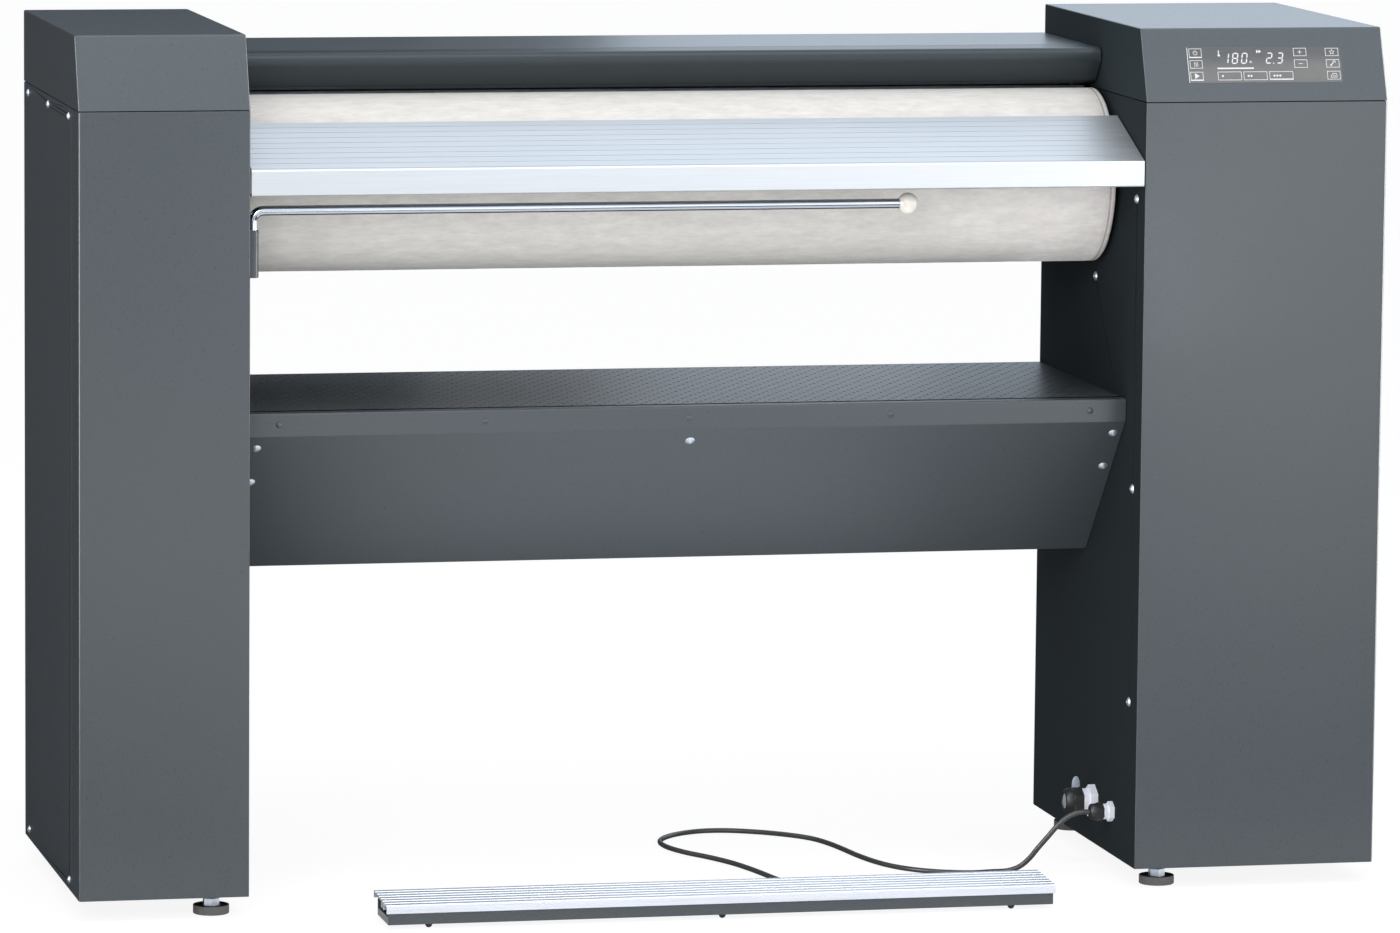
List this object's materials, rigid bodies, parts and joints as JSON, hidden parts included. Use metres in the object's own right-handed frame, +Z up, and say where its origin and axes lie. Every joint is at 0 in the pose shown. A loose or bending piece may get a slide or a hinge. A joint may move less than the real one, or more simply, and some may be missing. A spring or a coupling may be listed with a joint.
{
  "type": "flatwork ironer",
  "caption": "Free-standing flatwork ironer: a felt-covered roller between two columns runs against a heated trough, with feed table, laundry rail, shelf and foot bar.",
  "frame": {"origin": "on the floor under the middle of the part's bounding box", "axes": "+X along the roller to the machine's right column as seen from the front, +Y from the front to the back, +Z up"},
  "size_m": [1.5048, 0.5489, 0.9841],
  "materials": {
    "powder_coat": "fine-texture powder coat, iron grey",
    "powder_coat_dark": "fine-texture powder coat, iron grey, in shade",
    "frame_paint": "galvanised and primed sheet steel",
    "chromed_steel": "bright chrome",
    "anodised_aluminium": "natural anodised extrusion",
    "cast_aluminium": "cast and machined",
    "steel": "machined",
    "cast_iron": "as cast, painted",
    "bronze": "turned",
    "needle_felt": "heat-resistant needle felt, off-white",
    "rubber": "moulded, matte",
    "control_glass": "printed touch panel",
    "board": "circuit board",
    "ball_plastic": "glossy, cream white",
    "light_nylon": "moulded nylon, light grey",
    "black_nylon": "moulded nylon, black"
  },
  "bodies": {
    "base": {"left_frame": "frame_paint", "right_frame": "frame_paint", "left_front_cover": "powder_coat", "right_front_cover": "powder_coat", "left_side_panel": "powder_coat_dark", "right_side_panel": "powder_coat_dark", "left_rear_panel": "powder_coat_dark", "right_rear_panel": "powder_coat_dark", "left_head_cover": "powder_coat", "right_head_cover": "powder_coat", "control_glass": "control_glass", "control_board": "board", "side_screws": "chromed_steel", "wall_screws": "chromed_steel", "cross_beam": "frame_paint", "laundry_tray": "powder_coat", "beam_apron": "powder_coat", "beam_rear_panel": "powder_coat_dark", "tray_rivets": "powder_coat", "apron_screws": "chromed_steel", "trough_cover": "powder_coat_dark", "guard_pin": "steel", "feed_table": "anodised_aluminium", "table_brackets": "frame_paint", "rail_bracket": "powder_coat", "left_bearing": "cast_iron", "right_bearing": "cast_iron", "drive_belt": "rubber", "drive_motor": "cast_aluminium", "trough_bushes": "bronze", "press_motor": "cast_aluminium", "power_unit": "steel", "mains_gland_body": "light_nylon", "mains_gland_cap": "black_nylon", "mains_gland_plug": "light_nylon", "pedal_gland_body": "light_nylon", "pedal_gland_cap": "black_nylon", "pedal_base": "powder_coat_dark", "pedal_studs": "rubber", "pedal_buffers": "rubber", "pedal_contact": "rubber", "pedal_grommet": "rubber", "pedal_cable": "rubber"},
    "roller": {"roller_drum": "steel", "roller_padding": "needle_felt", "roller_pulley": "cast_iron"},
    "motor rotor": {"motor_rotor": "steel"},
    "trough": {"trough_plate": "cast_aluminium", "trough_heaters": "steel", "trough_carrier": "steel", "press_lever": "steel"},
    "cam": {"press_cam": "steel"},
    "guard": {"finger_guard": "powder_coat_dark"},
    "rail": {"laundry_rail": "chromed_steel", "rail_ball": "ball_plastic"},
    "treadle": {"pedal_treadle": "anodised_aluminium"},
    "foot front left": {"foot_front_left": "rubber"},
    "foot front right": {"foot_front_right": "rubber"},
    "foot rear left": {"foot_rear_left": "rubber"},
    "foot rear right": {"foot_rear_right": "rubber"}
  },
  "joints": [
    {"name": "roller turn", "type": "hinge", "parent": "base", "child": "roller", "pos_m": [0, 0.031, 0.8035], "axis": [-1, 0, 0], "continuous": true},
    {"name": "motor turn", "type": "hinge", "parent": "base", "child": "motor rotor", "pos_m": [0.522, 0.031, 0.3235], "axis": [-1, 0, 0], "continuous": true},
    {"name": "trough swing", "type": "hinge", "parent": "base", "child": "trough", "pos_m": [0, 0.2335, 0.7055], "axis": [-1, 0, 0], "range_deg": [0, 4.45]},
    {"name": "cam turn", "type": "hinge", "parent": "base", "child": "cam", "pos_m": [0.496, 0.195, 0.7955], "axis": [1, 0, 0], "range_deg": [0, 180]},
    {"name": "guard lift", "type": "hinge", "parent": "base", "child": "guard", "pos_m": [0, 0.0855, 0.9405], "axis": [-1, 0, 0], "range_deg": [0, 2.5]},
    {"name": "rail swivel", "type": "hinge", "parent": "base", "child": "rail", "pos_m": [-0.5518, -0.1395, 0.75], "axis": [0, 0, -1], "range_deg": [0, 90]},
    {"name": "treadle press", "type": "slide", "parent": "base", "child": "treadle", "axis": [0, 0, -1], "range_m": [0, 0.003], "stiffness_N_per_m": 5000, "springref_m": -0.002},
    {"name": "foot front left height", "type": "slide", "parent": "base", "child": "foot front left", "axis": [0, 0, -1], "range_m": [0, 0.015]},
    {"name": "foot front right height", "type": "slide", "parent": "base", "child": "foot front right", "axis": [0, 0, -1], "range_m": [0, 0.015]},
    {"name": "foot rear left height", "type": "slide", "parent": "base", "child": "foot rear left", "axis": [0, 0, -1], "range_m": [0, 0.015]},
    {"name": "foot rear right height", "type": "slide", "parent": "base", "child": "foot rear right", "axis": [0, 0, -1], "range_m": [0, 0.015]}
  ],
  "couplings": [
    {"joint": "motor turn", "follows": "roller turn", "ratio": 5.0984},
    {"joint": "cam turn", "follows": "trough swing", "ratio": 40.39}
  ]
}
